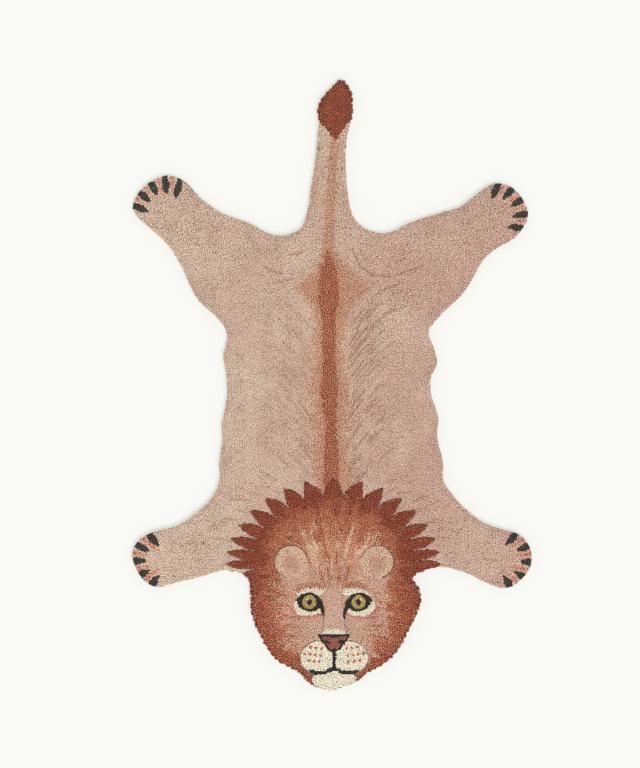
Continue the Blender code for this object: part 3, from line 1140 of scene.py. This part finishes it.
# ---- pieces
def regions(x, y, in_mane, in_face):
    """Each piece of the pile, and which tufts it holds."""
    in_tail = (y > 232) & (np.abs(x) < 60)
    return (
        ("pile_tail", in_tail),
        ("pile_hind_legs", (y > 160) & ~in_tail),
        ("pile_rump", ~in_mane & (y <= 160) & (y > 35)),
        ("pile_back", ~in_mane & (y <= 35) & (y > -115)),
        ("pile_shoulders_and_forelegs", ~in_mane & (y <= -115)),
        ("pile_mane", in_mane & ~in_face),
        ("pile_face", in_face),
    )


def build_pile(material):
    spots, corners, tone, depth, outward = settle(*lattice())
    x, y = spots.T
    in_mane = inside(x, y, MANE_RING)
    in_face = in_mane & (in_oval(x - FACE_AXIS, y, FACE) < FACE_PIECE)
    yarn = choose_yarns(x, y, depth, in_mane)
    shaggy = in_mane | (yarn[:, 0] == INDEX["tuft"])
    place, drop = tuft_shapes(spots, corners, depth, outward, in_mane, shaggy)
    colour = strand_colours(yarn, tone, pinkness(x, y))
    pieces = []
    for name, chosen in regions(x, y, in_mane, in_face):
        batches = []
        for prisms in (False, True):
            part = chosen & ((depth < FULL_BAND) == prisms)
            if part.any():
                batches.append(tuft_batch(place[part], drop[part], colour[part], prisms))
        pieces.append(pile_piece(name, batches, material))
    return pieces


# How far the backing is set in from the outline, and at what height
BACKING_SECTION = ((3.6, 0.0), (2.9, 0.5), (2.9, 1.6), (4.6, 6.6), (6.0, 7.6))


def build_backing(material):
    """The closed sheet under the pile."""
    run = np.roll(OUTLINE, -3, axis=0) - np.roll(OUTLINE, 3, axis=0)
    outward = np.stack([run[:, 1], -run[:, 0]], 1) / np.hypot(*run.T)[:, None]
    mesh = bmesh.new()
    rings = []
    for set_in, height in BACKING_SECTION:
        rings.append([mesh.verts.new((x * MM, y * MM, height * MM)) for x, y in OUTLINE - outward * set_in])
    for lower, upper in zip(rings, rings[1:]):
        for k in range(len(lower)):
            after = (k + 1) % len(lower)
            mesh.faces.new((lower[k], lower[after], upper[after], upper[k]))
    mesh.faces.new(rings[0][::-1])
    mesh.faces.new(rings[-1])
    mesh.normal_update()
    bmesh.ops.triangulate(mesh, faces=mesh.faces)
    data = bpy.data.meshes.new("backing_cloth")
    mesh.to_mesh(data)
    mesh.free()
    data.materials.append(material)
    piece = add_object("backing_cloth", data)
    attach(piece, "root")
    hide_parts("rug")
    return piece


# ---- stage
PHOTO_WIDTH, PHOTO_HEIGHT = 640, 768
RUG_WIDTH_PX = 399.5  # forepaw to forepaw in the photograph
RUG_MIDDLE_PX = (332.0, 385.2)  # the middle of the rug's box in the photograph
CAMERA_HEIGHT, SENSOR = 4.0, 36.0
SKY = 0.66
SUN_STRENGTH, SUN_TILT, SUN_TURN, SUN_SOFTNESS = 2.88, 24.0, 30.0, 30.0
FLOOR_COLOUR = (0.22, 0.2218, 0.2121, 1)
FLOOR_GLOW = 2.766  # the floor is a light table, so the rug throws little shadow


def build_camera():
    low, high = (Vector(corner) for corner in cad_bounds)
    metres_per_px = (high.x - low.x) / RUG_WIDTH_PX
    data = bpy.data.cameras.new("camera")
    data.sensor_fit = "VERTICAL"
    data.sensor_height = SENSOR
    data.lens = SENSOR * CAMERA_HEIGHT / (PHOTO_HEIGHT * metres_per_px)
    camera = add_object("camera", data)
    middle = (low + high) / 2
    right = (PHOTO_WIDTH / 2 - RUG_MIDDLE_PX[0]) * metres_per_px
    up = (RUG_MIDDLE_PX[1] - PHOTO_HEIGHT / 2) * metres_per_px
    camera.location = (middle.x + right, middle.y + up, high.z + CAMERA_HEIGHT)
    bpy.context.scene.camera = camera


def build_stage():
    bpy.ops.mesh.primitive_plane_add(size=30, location=(0, 0, 0))
    floor = bpy.context.object
    floor.name = "floor"
    floor.data.materials.append(floor_paint())
    data = bpy.data.lights.new("sun", "SUN")
    data.energy = SUN_STRENGTH
    data.angle = math.radians(SUN_SOFTNESS)
    sun = add_object("sun", data)
    sun.rotation_euler = (math.radians(SUN_TILT), 0, math.radians(SUN_TURN))
    world = bpy.data.worlds.new("studio")
    world.use_nodes = True
    background = world.node_tree.nodes["Background"]
    background.inputs["Color"].default_value = (1, 1, 1, 1)
    background.inputs["Strength"].default_value = SKY
    bpy.context.scene.world = world
    bpy.context.scene.view_settings.view_transform = "Standard"


build_camera()
cloth = build_backing(backing())
pile = build_pile(wool())
build_stage()
